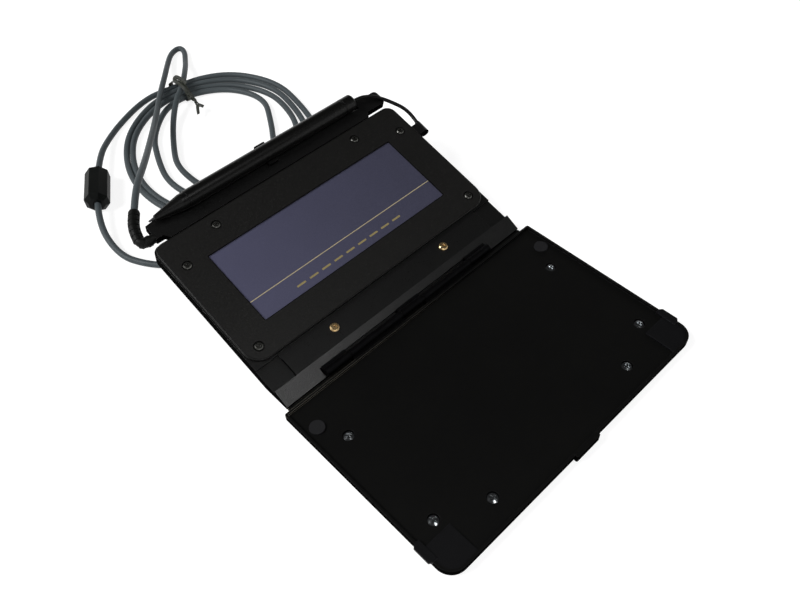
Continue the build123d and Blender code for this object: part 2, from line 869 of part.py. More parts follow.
def make_pen_cap():
    start = pen_right - pen_cap_length
    ring = rod_x(pen_ring_radius, start, start + pen_ring_width, tray_y, tray_axis_height)
    cap = rod_x(pen_radius, start + pen_ring_width, pen_right, tray_y, tray_axis_height)
    cap = chamfer(cap.edges().filter_by(GeomType.CIRCLE).sort_by(Axis.X)[-1], pen_cap_round)
    return ring + cap


def make_pen_nose():
    shoulder = pen_left - pen_nose_shoulder
    tail = pen_left - pen_nose_length
    ring = rod_x(pen_ring_radius, pen_left - pen_ring_width, pen_left, tray_y, tray_axis_height)
    grip = rod_x(pen_ring_radius, shoulder, pen_left - pen_ring_width, tray_y, tray_axis_height)
    cone = cone_x(pen_nose_end_radius, pen_ring_radius, tail, shoulder, tray_y, tray_axis_height)
    return ring + grip + cone


def make_pen_tip():
    start = pen_left - pen_nose_length
    return cone_x(pen_tip_end_radius, pen_tip_radius, start - pen_tip_length, start,
                  tray_y, tray_axis_height)


# Tether and its anchor, with the points of the tether in the pad's level frame

def anchor_direction():
    """The way that the tether leaves its anchor."""
    return Vector(sin(radians(anchor_turn)), cos(radians(anchor_turn)), 0)


def make_tether_anchor():
    heading = anchor_direction()
    start = Vector(anchor_x, anchor_y, anchor_z)
    middle = start + heading * (anchor_length / 2)
    sleeve = Plane(origin=middle, z_dir=heading) * Cone(anchor_root_radius, anchor_end_radius,
                                                        anchor_length)
    block = box(shell_half, anchor_x, anchor_y, anchor_y + anchor_block_length,
                anchor_z - anchor_block_height / 2, anchor_z + anchor_block_height / 2)
    return sleeve + block


tether_points = [(59.0, 110.6, 2.0), (64.5, 110.6, 2.0), (69.8, 108.0, 2.1), (75.0, 103.8, 1.0),
                 (anchor_x - tether_turn_in, 98.8, -0.6), (anchor_x + tether_bow, 93.2, -2.2)]


def make_pen_tether():
    heading = anchor_direction()
    end = Vector(anchor_x, anchor_y, anchor_z) + heading * anchor_length
    points = [leaned_point(*point) for point in tether_points]
    approach = end + heading * tether_first_run
    points.append(leaned_point(approach.X, approach.Y, approach.Z))
    points.append(leaned_point(end.X, end.Y, end.Z))
    return tube("pen_tether", points, tether_radius)


# Cable boot, and the cable from it to the coil, round the coil and on to the plug

def boot_points():
    """Points of the boot's middle line in the pad's level frame."""
    return [Vector(tongue_left + x, gland_block_near + boot_inset + y, boot_height)
            for x, y in boot_steps]


def make_cable_boot():
    points = boot_points()
    path = FilletPolyline(*points, radius=[boot_bend, bend_radii(points[1:])[0]])
    section = Plane(origin=path @ 0, z_dir=path % 0) * Circle(boot_radius)
    boot = sweep(section, path=path)
    count = int((path.length - boot_rib_width / 2) / boot_rib_pitch)
    for index in range(1, count + 1):
        place = index * boot_rib_pitch / path.length
        rib = Plane(origin=path @ place, z_dir=path % place) * Cylinder(boot_rib_radius,
                                                                       boot_rib_width)
        boot = boot + rib
    return boot


lead_first_run = 14.0
lead_points = [(-46.7, 148.9, 34.0), (-28.9, 178.3, 22.0), (-9.3, 209.8, 10.6), (7.8, 233.9, 7.4),
               (22.6, 251.9, 6.0), (31.2, 262.6, 3.6), (39.2, 271.4, 2.1), (45.46, 278.6, 1.9),
               (50.4, 277.8, 1.9), (52.35, 273.2, 2.0), (46.9, 265.4, 2.6), (38.2, 251.5, 5.2),
               (30.3, 240.3, 7.6), (22.0, 230.3, 7.8), (11.5, 221.8, 6.6), (2.2, 211.3, 4.2),
               (-5.3, 200.9, 2.7), (-12.9, 188.3, 2.25)]
lead_last_run = 12.0

tail_points = [(0.0, 242.8, 2.25), (-14.0, 238.2, 1.9), (-32.6, 228.0, 1.85)]
tail_bead_run = 26.5
tail_far_points = [(-81.0, 136.0, 1.85), (-73.5, 119.0, 1.85), (-62.5, 106.0, 2.6)]
plug_lead_in = 12.0


def make_cord_lead():
    knee, boot_end = [leaned_point(point.X, point.Y, point.Z) for point in boot_points()[-2:]]
    start = boot_end
    heading = (start - knee).normalized()
    points = [start, start + heading * lead_first_run]
    points += [Vector(*point) for point in lead_points]
    points.append(coil_point(0) - coil_heading(0) * lead_last_run)
    points.append(coil_point(0))
    return tube("cord_lead", points, cable_radius)


def coil_point(index):
    """A point of the coil's middle line."""
    ray = radians(coil_first_ray + index * coil_ray_step)
    reach = coil_reaches[index]
    return Vector(coil_middle[0] + reach * cos(ray), coil_middle[1] + reach * sin(ray),
                  coil_height)


def coil_heading(index):
    """The way the coil runs there, along the circle through the point and its neighbours."""
    if index == 0:
        return Vector(cos(radians(coil_start_heading)), sin(radians(coil_start_heading)), 0)
    if index == len(coil_reaches) - 1:
        return Vector(cos(radians(coil_end_heading)), sin(radians(coil_end_heading)), 0)
    arriving = coil_point(index) - coil_point(index - 1)
    leaving = coil_point(index + 1) - coil_point(index)
    mixed = arriving.normalized() * leaving.length + leaving.normalized() * arriving.length
    return mixed.normalized()


def two_arcs(start, start_heading, end, end_heading):
    """Two arcs that meet smoothly and leave and arrive on the given headings."""
    gap = end - start
    total = start_heading + end_heading
    along = gap.dot(total)
    spread = 2 * (1 - start_heading.dot(end_heading))
    reach = (sqrt(along * along + spread * gap.dot(gap)) - along) / spread
    first_corner = start + start_heading * reach
    second_corner = end - end_heading * reach
    middle = (first_corner + second_corner) * 0.5
    first = Edge.make_tangent_arc(start, start_heading, middle)
    second = Edge.make_tangent_arc(middle, second_corner - first_corner, end)
    return [first, second]


def make_cord_coil():
    arcs = []
    for index in range(len(coil_reaches) - 1):
        arcs += two_arcs(coil_point(index), coil_heading(index),
                         coil_point(index + 1), coil_heading(index + 1))
    path = Wire(arcs)
    section = Plane(origin=path @ 0, z_dir=path % 0) * Circle(cable_radius)
    solid = sweep(section, path=path)
    print("cord_coil length", round(path.length, 1), "volume over section times length",
          round(solid.volume / (section.area * path.length), 4))
    count = 600
    places = [path @ (index / count) for index in range(count + 1)]
    apart = int(count * 8 * cable_radius / path.length)
    gap = min((places[i] - places[j]).length
              for i in range(count + 1) for j in range(i + apart, count + 1))
    print("cord_coil least gap to itself", round(gap - 2 * cable_radius, 2))
    return solid


def bead_ends(half):
    """Two points on the bead's axis, half a length either side of its middle."""
    heading = Vector(bead_direction[0], bead_direction[1], 0).normalized()
    middle = Vector(bead_x, bead_y, bead_radius)
    return middle - heading * half, middle + heading * half


def make_cord_tail():
    points = [coil_point(len(coil_reaches) - 1)]
    points += [Vector(*point) for point in tail_points]
    points += list(bead_ends(tail_bead_run))
    points += [Vector(*point) for point in tail_far_points]
    plug_height = plug_body_height / 2
    points.append(Vector(plug_x - plug_lead_in, plug_y, plug_height))
    points.append(Vector(plug_x, plug_y, plug_height))
    return tube("cord_tail", points, cable_radius)


def make_ferrite_bead():
    low, high = bead_ends(bead_length / 2)
    heading = (high - low).normalized()
    flats = RegularPolygon(bead_radius, 8, major_radius=False, rotation=22.5)
    place = Plane(origin=low, x_dir=Vector(0, 0, 1), z_dir=heading)
    bead = extrude(place * flats, amount=bead_length)
    ends = bead.faces().sort_by(Axis(tuple(low), tuple(heading)))
    bead = chamfer(ends[0].edges() + ends[-1].edges(), bead_chamfer)
    bore = place * Pos(0, 0, bead_length / 2) * Cylinder(cable_radius + slip_gap,
                                                        bead_length + overrun)
    return bead - bore


def straight_rod(start, end, radius):
    """A round rod between two points."""
    run = end - start
    return Plane(origin=(start + end) * 0.5, z_dir=run) * Cylinder(radius, run.length)


def inner_far_strand():
    """Where the innermost turn passes the far side of the coil."""
    rays = int((360 + 90 - coil_first_ray) / coil_ray_step)
    return coil_point(rays)


def make_twist_tie():
    half = tie_width / 2
    low = tie_floor_gap
    tie_near = inner_far_strand().Y - cable_radius - tie_near_slack
    tie_far = coil_point(len(coil_reaches) - 1).Y + cable_radius + tie_far_slack
    outer = box(tie_x - half, tie_x + half, tie_near - tie_thickness, tie_far + tie_thickness,
                low, tie_top + tie_thickness)
    outer = fillet(outer.edges().filter_by(Axis.X), tie_corner)
    inner = box(tie_x - half - overrun, tie_x + half + overrun, tie_near, tie_far,
                low + tie_thickness, tie_top)
    inner = fillet(inner.edges().filter_by(Axis.X), tie_corner - tie_thickness)
    knot = Vector(tie_x, tie_near - tie_thickness, tie_top - tie_corner)
    twist_end = knot + Vector(*tie_twist_step)
    tie = outer - inner + straight_rod(knot, twist_end, tie_twist_radius)
    tie = tie + Pos(knot) * Sphere(tie_twist_radius) + Pos(twist_end) * Sphere(tie_twist_radius)
    for step in tie_whisker_steps:
        tie = tie + straight_rod(twist_end, twist_end + Vector(*step), tie_whisker_radius)
    return tie


def make_plug_body():
    mid = plug_body_height / 2
    relief_end = plug_x + plug_relief_length
    relief = cone_x(plug_relief_radius, plug_relief_radius + cable_radius / 2, plug_x, relief_end,
                    plug_y, mid)
    body = box(relief_end, relief_end + plug_body_length,
               plug_y - plug_body_width / 2, plug_y + plug_body_width / 2, 0, plug_body_height)
    body = fillet(body.edges().filter_by(Axis.X), plug_body_round)
    return relief + body


def make_plug_shell():
    start = plug_x + plug_relief_length + plug_body_length
    mid = plug_body_height / 2
    half_width = plug_shell_width / 2
    half_height = plug_shell_height / 2
    shell = box(start, start + plug_shell_length, plug_y - half_width, plug_y + half_width,
                mid - half_height, mid + half_height)
    hollow = box(start + plug_shell_wall, start + plug_shell_length + overrun,
                 plug_y - half_width + plug_shell_wall, plug_y + half_width - plug_shell_wall,
                 mid, mid + half_height - plug_shell_wall)
    return shell - hollow


nodes["cover_back"] = make_cover_back()
nodes["cover_panel"] = make_cover_panel()
nodes["cover_screws"] = make_cover_screws()
nodes["cover_bumpers"] = make_cover_bumpers()
nodes["cover_feet"] = make_cover_feet()
nodes["cover_pull_tab"] = make_pull_tab()
nodes["corner_latch_right"] = make_corner_latch(1)
nodes["corner_latch_left"] = make_corner_latch(-1)
nodes["cover_hinge_leaf"] = make_cover_leaf()

nodes["base_tray"] = make_base_tray()
nodes["base_hinge_leaf"] = leaned(make_base_leaf())
nodes["hinge_pin"] = rod_x(pin_radius, -hinge_half_length, hinge_half_length, 0, hinge_height)
nodes["face_plate"] = leaned(make_face_plate())
nodes["screen_glass"] = leaned(make_screen_glass())
nodes["display_module"] = leaned(make_display_module())
nodes["pen_sensor_board"] = leaned(make_pen_sensor_board())
nodes["controller_board"] = leaned(make_controller_board())
nodes["bezel_screws"] = leaned(make_bezel_screws())
nodes["contact_studs"] = leaned(make_contact_studs())
nodes["front_feet"] = make_front_feet()
nodes["foot_pins"] = leaned(make_foot_pins())
right_foot = make_rear_foot()
right_pad = foot_blank(0, foot_pad_thickness)
nodes["rear_foot_right"] = right_foot
nodes["rear_foot_left"] = mirror(right_foot, Plane.YZ)
nodes["foot_pad_right"] = right_pad
nodes["foot_pad_left"] = mirror(right_pad, Plane.YZ)

nodes["pen_tray"] = leaned(make_pen_tray())
nodes["pen_clip"] = leaned(make_pen_clip())
nodes["pen_barrel"] = leaned(make_pen_barrel())
nodes["pen_cap"] = leaned(make_pen_cap())
nodes["pen_nose"] = leaned(make_pen_nose())
nodes["pen_tip"] = leaned(make_pen_tip())
nodes["tether_anchor"] = leaned(make_tether_anchor())
nodes["pen_tether"] = make_pen_tether()

nodes["cable_boot"] = leaned(make_cable_boot())
nodes["cord_lead"] = make_cord_lead()
nodes["cord_coil"] = make_cord_coil()
nodes["cord_tail"] = make_cord_tail()
nodes["ferrite_bead"] = make_ferrite_bead()
nodes["twist_tie"] = make_twist_tie()
nodes["plug_body"] = make_plug_body()
nodes["plug_shell"] = make_plug_shell()

# The origin goes to the middle of the object's footprint, measured without the cables.
cable_nodes = ["pen_tether", "cable_boot", "cord_lead", "cord_coil", "cord_tail", "ferrite_bead",
               "twist_tie", "plug_body", "plug_shell"]
boxes = [shape.bounding_box() for name, shape in nodes.items() if name not in cable_nodes]
middle_x = (min(b.min.X for b in boxes) + max(b.max.X for b in boxes)) / 2
middle_y = (min(b.min.Y for b in boxes) + max(b.max.Y for b in boxes)) / 2
print("origin in the hinge frame", round(middle_x, 4), round(middle_y, 4),
      "hinge height", round(hinge_height, 3), "foot length", round(foot_length(), 2))
shift = Pos(-middle_x, -middle_y, 0)
for name, shape in nodes.items():
    export_step(shift * shape, "parts/" + name + ".step")
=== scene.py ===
import math

import bmesh
import bpy
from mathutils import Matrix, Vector


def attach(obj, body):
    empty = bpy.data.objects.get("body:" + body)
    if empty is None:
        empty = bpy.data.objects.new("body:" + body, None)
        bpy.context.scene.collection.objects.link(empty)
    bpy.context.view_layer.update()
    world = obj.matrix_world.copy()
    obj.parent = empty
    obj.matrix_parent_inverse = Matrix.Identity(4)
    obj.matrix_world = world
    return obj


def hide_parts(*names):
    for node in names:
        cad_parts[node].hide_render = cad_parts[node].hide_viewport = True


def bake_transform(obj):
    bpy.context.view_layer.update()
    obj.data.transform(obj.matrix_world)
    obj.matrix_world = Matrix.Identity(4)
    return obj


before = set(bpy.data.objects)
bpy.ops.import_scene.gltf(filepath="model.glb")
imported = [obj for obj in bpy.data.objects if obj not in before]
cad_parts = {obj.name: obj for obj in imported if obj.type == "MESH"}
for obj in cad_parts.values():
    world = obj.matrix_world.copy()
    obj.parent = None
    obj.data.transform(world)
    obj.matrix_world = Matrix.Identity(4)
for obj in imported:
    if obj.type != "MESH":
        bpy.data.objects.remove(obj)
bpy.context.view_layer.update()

# A desk signature pad with its cover lying open, a tethered pen along the far edge and a
# grey data cable coiled behind it. Lengths are in millimetres until rowPoint or mm turns
# them to metres. The signer sits on the -Y side.


hinge = {
    "lean": 15.9,                     # degrees that the pad leans back
    "height": 6.2,                    # hinge axis above the desk
    "offset": (1.3819, 4.6305),       # hinge frame to the model's own origin
}


def mm(value):
    return value / 1000.0


def rowPoint(x, y, z):
    return Vector((mm(x - hinge["offset"][0]), mm(y - hinge["offset"][1]), mm(z)))


def padPoint(x, y, z):
    # a point drawn on the level pad, then leaned back about the hinge
    lean = math.radians(hinge["lean"])
    return (x, y * math.cos(lean) - z * math.sin(lean),
            hinge["height"] + y * math.sin(lean) + z * math.cos(lean))


def linearColour(hexText):
    # sRGB hex to the linear values that the shader wants, opaque
    parts = [int(hexText[i:i + 2], 16) / 255.0 for i in (1, 3, 5)]
    linear = [c / 12.92 if c <= 0.04045 else ((c + 0.055) / 1.055) ** 2.4 for c in parts]
    return linear + [1.0]


def perMm(size):
    # texture scale for a feature of that size in millimetres, on coordinates in metres
    return 1000.0 / size


view = {
    "place": (-0.15538, -0.17313, 0.28670),
    "turn": (39.589, 2.205, -43.713),
    "lens": 34.26,
    "sensor": 36.0,
    "nearest": 0.01,
}

cameraData = bpy.data.cameras.new("photoCamera")
cameraData.sensor_width = view["sensor"]
cameraData.lens = view["lens"]
cameraData.clip_start = view["nearest"]
photoCamera = bpy.data.objects.new("photoCamera", cameraData)
photoCamera.location = view["place"]
photoCamera.rotation_euler = [math.radians(a) for a in view["turn"]]
bpy.context.scene.collection.objects.link(photoCamera)
bpy.context.scene.camera = photoCamera
print("camera: set")


def setInputs(tree, node, inputs):
    # a socket is linked, anything else is written into the input's own value
    for name, value in inputs.items():
        if isinstance(value, bpy.types.NodeSocket):
            tree.links.new(value, node.inputs[name])
        else:
            node.inputs[name].default_value = value


def addNode(tree, kind, inputs=None, **settings):
    node = tree.nodes.new("ShaderNode" + kind)
    for name, value in settings.items():
        setattr(node, name, value)
    setInputs(tree, node, inputs or {})
    return node


def startMaterial(name):
    material = bpy.data.materials.new(name)
    material.use_nodes = True
    tree = material.node_tree
    tree.nodes.clear()
    shader = addNode(tree, "BsdfPrincipled")
    addNode(tree, "OutputMaterial", {"Surface": shader.outputs[0]})
    place = addNode(tree, "TexCoord").outputs["Object"]
    return material, tree, shader, place


def dress(piece, material):
    piece.data.materials.clear()
    piece.data.materials.append(material)


def linkMesh(name, bm, smooth=True):
    mesh = bpy.data.meshes.new(name)
    bm.normal_update()
    bm.to_mesh(mesh)
    bm.free()
    for face in mesh.polygons:
        face.use_smooth = smooth
    piece = bpy.data.objects.new(name, mesh)
    bpy.context.scene.collection.objects.link(piece)
    return piece


routeSteps = 10      # drawn steps from one control point to the next
routeOrder = 3       # a quadratic line, which keeps close to its points


def makeRoute(name, points, cyclic=False):
    # one smooth NURBS line with these control points
    curve = bpy.data.curves.new(name, "CURVE")
    curve.dimensions = "3D"
    curve.resolution_u = routeSteps
    spline = curve.splines.new("NURBS")
    spline.points.add(len(points) - 1)
    for target, source in zip(spline.points, points):
        target.co = (*source, 1.0)
    spline.order_u = routeOrder
    spline.use_cyclic_u = cyclic
    spline.use_endpoint_u = not cyclic
    route = bpy.data.objects.new(name, curve)
    bpy.context.scene.collection.objects.link(route)
    return route


def routeLine(name, points, cyclic=False):
    # the points that Blender itself draws such a route with; the route is then dropped
    route = makeRoute(name, points, cyclic)
    bpy.context.view_layer.update()
    mesh = bpy.data.meshes.new_from_object(route)
    line = [v.co.copy() for v in mesh.vertices]
    bpy.data.meshes.remove(mesh)
    curve = route.data
    bpy.data.objects.remove(route)
    bpy.data.curves.remove(curve)
    return line


def sweep(bm, points, section, side, closed=False, narrowing=0.0):
    # carries a closed section along the points; side is the section's first axis at the
    # start, and narrowing is the share of its size that is gone at the end
    count = len(points)
    rings = []
    side = Vector(side)
    for i, point in enumerate(points):
        before = points[(i - 1) % count] if closed or i > 0 else point
        after = points[(i + 1) % count] if closed or i < count - 1 else point
        ahead = (after - before).normalized()
        side = (side - ahead * side.dot(ahead)).normalized()
        up = ahead.cross(side)
        size = 1.0 - narrowing * (i / (count - 1))
        rings.append([bm.verts.new(point + side * u * size + up * v * size)
                      for u, v in section])
    for i in range(count if closed else count - 1):
        a, b = rings[i], rings[(i + 1) % count]
        for j in range(len(section)):
            k = (j + 1) % len(section)
            bm.faces.new((a[j], a[k], b[k], b[j]))
    if not closed:
        bm.faces.new(list(reversed(rings[0])))
        bm.faces.new(rings[-1])


def roundSection(radius, sides=20):
    turns = [2 * math.pi * i / sides for i in range(sides)]
    return [(radius * math.cos(t), radius * math.sin(t)) for t in turns]


def ribbonSection(width, thickness, core):
    # a flat coated strip with a wire down its middle: the upper half, and then its mirror
    half = width / 2
    thin = thickness / 2
    top = [(half, 0), (half * 0.9, thin), (core * 1.2, thin), (core * 0.6, core),
           (0, core * 1.15), (-core * 0.6, core), (-core * 1.2, thin), (-half * 0.9, thin),
           (-half, 0)]
    return top + [(u, -v) for u, v in reversed(top[1:-1])]


bevelSamples = 6
noiseLow, noiseHigh = 0.3, 0.7       # nearly all of a noise texture lies between these
breakupLow, breakupHigh = 0.35, 0.65       # narrower, so painted-edge and plain stretches part
leastEdgeShare = 0.3                      # share of the painted edge colour left on a plain stretch
edgeReach = 0.12                     # how far the soft normal turns before it is an edge
wallFacing, topFacing = 0.4, 0.8     # upward part of the normal on a wall and on a top
grainDepth = 0.3                     # depth of a moulded grain, as a share of its size
peelDepth = 0.25                     # the same of an orange peel


def edgeMask(tree, radius, reach):
    # 1 on convex and concave edges, 0 on open faces; also the softened normal
    soft = addNode(tree, "Bevel", {"Radius": radius}, samples=bevelSamples)
    flat = addNode(tree, "NewGeometry")
    same = addNode(tree, "VectorMath", {0: soft.outputs[0], 1: flat.outputs["Normal"]},
                   operation="DOT_PRODUCT")
    mask = addNode(tree, "MapRange", {"Value": same.outputs["Value"], "From Min": 1.0,
                                      "From Max": 1.0 - reach})
    return mask.outputs[0], soft.outputs[0]


def mottledTone(tree, place, look, size):
    # two near tones of one colour that drift into each other in clouds of this size
    cloud = addNode(tree, "TexNoise", {"Vector": place, "Scale": perMm(size), "Detail": 2.0})
    tone = addNode(tree, "Mix", {0: cloud.outputs["Fac"], 6: linearColour(look["dark"]),
                                 7: linearColour(look["light"])}, data_type="RGBA")
    return tone.outputs[2]


def paintedLineShare(tree, place, edge, paintedHighlight):
    # share of a painted highlight line along the edges between two depths, fading to one end
    axes = addNode(tree, "SeparateXYZ", {0: place})
    beside = addNode(tree, "MapRange", {"Value": axes.outputs["Y"],
                                        "From Min": mm(paintedHighlight["from"]),
                                        "From Max": mm(paintedHighlight["full"])})
    fading = addNode(tree, "MapRange", {"Value": axes.outputs["X"],
                                        "From Min": mm(paintedHighlight["left"]),
                                        "From Max": mm(paintedHighlight["right"]),
                                        "To Min": 1.0, "To Max": 0.0})
    along = addNode(tree, "Math", {0: beside.outputs[0], 1: fading.outputs[0]},
                    operation="MULTIPLY")
    there = addNode(tree, "Math", {0: along.outputs[0], 1: edge}, operation="MULTIPLY")
    return there.outputs[0]


# each material here paints its edges in its edge colour; paler is a painted highlight
def mouldedPlastic(name, look):
    material, tree, shader, place = startMaterial(name)
    tone = mottledTone(tree, place, look, look["cloudMm"])
    grain = addNode(tree, "TexNoise", {"Vector": place, "Scale": perMm(look["grainMm"]),
                                       "Detail": 3.0, "Roughness": 0.6})
    edge, softNormal = edgeMask(tree, mm(look["edgeMm"]), edgeReach)
    edgeBreakupNoise = addNode(tree, "TexNoise", {"Vector": place, "Scale": perMm(look["breakupMm"]),
                                        "Detail": 4.0, "Roughness": 0.7})
    edgeBreakup = addNode(tree, "MapRange", {"Value": edgeBreakupNoise.outputs["Fac"], "From Min": breakupLow,
                                      "From Max": breakupHigh, "To Min": leastEdgeShare})
    paintedEdgeShare = addNode(tree, "Math", {0: edge, 1: edgeBreakup.outputs[0]}, operation="MULTIPLY")
    # painted highlight: edges take the edge colour, in stretches
    paint = addNode(tree, "Mix", {0: paintedEdgeShare.outputs[0], 6: tone,
                                  7: linearColour(look["edge"])}, data_type="RGBA")
    dull = addNode(tree, "MapRange", {"Value": grain.outputs["Fac"], "From Min": noiseLow,
                                      "From Max": noiseHigh, "To Min": look["rough"][0],
                                      "To Max": look["rough"][1]})
    bump = addNode(tree, "Bump", {"Height": grain.outputs["Fac"], "Normal": softNormal,
                                  "Strength": look["bump"],
                                  "Distance": mm(look["grainMm"] * grainDepth)})
    # painted highlight: a pale line on the rim edges beside the hinge
    if "paintedHighlight" in look:
        paint = addNode(tree, "Mix", {0: paintedLineShare(tree, place, edge, look["paintedHighlight"]),
                                      6: paint.outputs[2],
                                      7: linearColour(look["paintedHighlight"]["colour"])},
                        data_type="RGBA")
    setInputs(tree, shader, {"Base Color": paint.outputs[2], "Roughness": dull.outputs[0],
                             "Normal": bump.outputs[0], "IOR": look["ior"],
                             "Specular IOR Level": look["gloss"]})
    if "wallGloss" in look:
        # object normal, so that the walls keep their gloss when the piece moves
        ownNormal = addNode(tree, "TexCoord").outputs["Normal"]
        facing = addNode(tree, "SeparateXYZ", {0: ownNormal})
        sheen = addNode(tree, "MapRange", {"Value": facing.outputs["Z"],
                                           "From Min": wallFacing, "From Max": topFacing,
                                           "To Min": look["wallGloss"],
                                           "To Max": look["gloss"]})
        setInputs(tree, shader, {"Specular IOR Level": sheen.outputs[0]})
    return material


def powderCoat(name, look):
    # cured powder flows into a fine orange peel with a scatter of lighter specks
    material, tree, shader, place = startMaterial(name)
    tone = mottledTone(tree, place, look, look["cloudMm"])
    peel = addNode(tree, "TexVoronoi", {"Vector": place, "Scale": perMm(look["peelMm"])},
                   feature="SMOOTH_F1")
    speck = addNode(tree, "TexNoise", {"Vector": place, "Scale": perMm(look["speckMm"]),
                                       "Detail": 1.0})
    bright = addNode(tree, "MapRange", {"Value": speck.outputs["Fac"],
                                        "From Min": look["speckSpan"][0],
                                        "From Max": look["speckSpan"][1],
                                        "To Max": look["speckShare"]})
    flecked = addNode(tree, "Mix", {0: bright.outputs[0], 6: tone,
                                    7: linearColour(look["speck"])}, data_type="RGBA")
    edge, softNormal = edgeMask(tree, mm(look["edgeMm"]), look["rimReach"])
    # painted shade: the rim darkens to the edge colour as the plate turns from the light
    paintedShadeRim = addNode(tree, "Mix", {0: edge, 6: flecked.outputs[2],
                                7: linearColour(look["edge"])}, data_type="RGBA")
    dull = addNode(tree, "MapRange", {"Value": peel.outputs["Distance"],
                                      "From Max": look["peelHigh"],
                                      "To Min": look["rough"][0],
                                      "To Max": look["rough"][1]})
    sheen = addNode(tree, "MapRange", {"Value": edge, "To Min": look["gloss"],
                                       "To Max": look["rimGloss"]})
    bump = addNode(tree, "Bump", {"Height": peel.outputs["Distance"], "Normal": softNormal,
                                  "Strength": look["bump"],
                                  "Distance": mm(look["peelMm"] * peelDepth)})
    setInputs(tree, shader, {"Base Color": paintedShadeRim.outputs[2], "Roughness": dull.outputs[0],
                             "Normal": bump.outputs[0],
                             "Specular IOR Level": sheen.outputs[0]})
    return material


def plainMetal(name, look):
    # plated or turned metal: fine random scratches and slightly dulled patches
    material, tree, shader, place = startMaterial(name)
    stretch = addNode(tree, "Mapping", {"Vector": place, "Scale": look["stretch"]})
    lines = addNode(tree, "TexNoise", {"Vector": stretch.outputs[0], "Detail": 3.0,
                                       "Scale": perMm(look["lineMm"])})
    dull = addNode(tree, "MapRange", {"Value": lines.outputs["Fac"], "From Min": noiseLow,
                                      "From Max": noiseHigh, "To Min": look["rough"][0],
                                      "To Max": look["rough"][1]})
    bevel = addNode(tree, "Bevel", {"Radius": mm(look["edgeMm"])}, samples=bevelSamples)
    bump = addNode(tree, "Bump", {"Height": lines.outputs["Fac"],
                                  "Normal": bevel.outputs[0], "Strength": look["bump"],
                                  "Distance": mm(look["depthMm"])})
    setInputs(tree, shader, {"Base Color": mottledTone(tree, place, look, look["patchMm"]),
                             "Roughness": dull.outputs[0], "Normal": bump.outputs[0],
                             "Metallic": 1.0})
    return material


# ABS moulded in a spark-eroded tool: a soft even dullness; paler edges are a painted
# highlight.
# The real grain is about 0.15 mm and is drawn at 0.5 mm so that it shows at all. The walls
# leave the tool with a coarser, drawn texture, so they don't shine.
housingAbs = mouldedPlastic("housingAbs", {
    "dark": "#080808", "light": "#0c0c0c", "edge": "#121213", "edgeMm": 0.12,
    "cloudMm": 18.0, "grainMm": 0.5, "breakupMm": 5.0, "bump": 0.45,
    "rough": (0.27, 0.39), "ior": 1.53, "gloss": 0.3, "wallGloss": 0.0})

# The same ABS from a smoother, stoned tool: near black. A painted highlight lies as a pale
# line on the rim beside the hinge, strongest at the left end.
coverAbs = mouldedPlastic("coverAbs", {
    "dark": "#060606", "light": "#0a0a09", "edge": "#121213", "edgeMm": 0.3,
    "cloudMm": 30.0, "grainMm": 0.6, "breakupMm": 9.0, "bump": 0.12,
    "paintedHighlight": {"colour": "#6f6b62", "from": -10.5, "full": -9.5, "left": -80.0, "right": 30.0},
    "rough": (0.38, 0.5), "ior": 1.53, "gloss": 0.1, "wallGloss": 0.0})

# Latch corners, moulded with a little more grey in the compound, so they look bluish.
latchAbs = mouldedPlastic("latchAbs", {
    "dark": "#070708", "light": "#0b0b0d", "edge": "#1d1e22", "edgeMm": 0.2,
    "cloudMm": 8.0, "grainMm": 0.5, "breakupMm": 4.0, "bump": 0.2,
    "rough": (0.4, 0.55), "ior": 1.53, "gloss": 0.12})

# Satin ABS of the pen, drawn clean from the mould: one long soft highlight, hardly any grain.
penAbs = mouldedPlastic("penAbs", {
    "dark": "#080808", "light": "#0b0b0a", "edge": "#121213", "edgeMm": 0.3,
    "cloudMm": 12.0, "grainMm": 0.8, "breakupMm": 6.0, "bump": 0.05,
    "rough": (0.26, 0.34), "ior": 1.53, "gloss": 0.16})

# Acetal, turned: a waxy off-black point that writes on glass.
penAcetal = mouldedPlastic("penAcetal", {
    "dark": "#1a1a1b", "light": "#232324", "edge": "#3a3a3c", "edgeMm": 0.1,
    "cloudMm": 2.0, "grainMm": 0.3, "breakupMm": 1.0, "bump": 0.1,
    "rough": (0.35, 0.45), "ior": 1.48, "gloss": 0.5})

# Nitrile rubber, compression moulded: a flat charcoal, dull all over, with soft edges.
nitrileRubber = mouldedPlastic("nitrileRubber", {
    "dark": "#0e0e10", "light": "#141416", "edge": "#1a1a1e", "edgeMm": 0.3,
    "cloudMm": 5.0, "grainMm": 0.4, "breakupMm": 3.0, "bump": 0.35,
    "rough": (0.7, 0.85), "ior": 1.52, "gloss": 0.2})

# Overmoulded thermoplastic elastomer of the strain relief: dull, soft-edged.
bootElastomer = mouldedPlastic("bootElastomer", {
    "dark": "#060706", "light": "#0b0c0b", "edge": "#101211", "edgeMm": 0.25,
    "cloudMm": 5.0, "grainMm": 0.4, "breakupMm": 2.5, "bump": 0.25,
    "rough": (0.4, 0.55), "ior": 1.5, "gloss": 0.12})

# Extruded PVC cable jacket: slate grey, smooth, with faint handling marks.
jacketPvc = mouldedPlastic("jacketPvc", {
    "dark": "#3a4043", "light": "#474e51", "edge": "#4f575a", "edgeMm": 0.2,
    "cloudMm": 14.0, "grainMm": 0.9, "breakupMm": 6.0, "bump": 0.06,
    "rough": (0.45, 0.6), "ior": 1.54, "gloss": 0.2})

# The same PVC, overmoulded on the plug with a little mould grain.
plugPvc = mouldedPlastic("plugPvc", {
    "dark": "#4a5154", "light": "#5a6265", "edge": "#717a7d", "edgeMm": 0.3,
    "cloudMm": 10.0, "grainMm": 0.5, "breakupMm": 4.0, "bump": 0.2,
    "rough": (0.45, 0.58), "ior": 1.54, "gloss": 0.4})

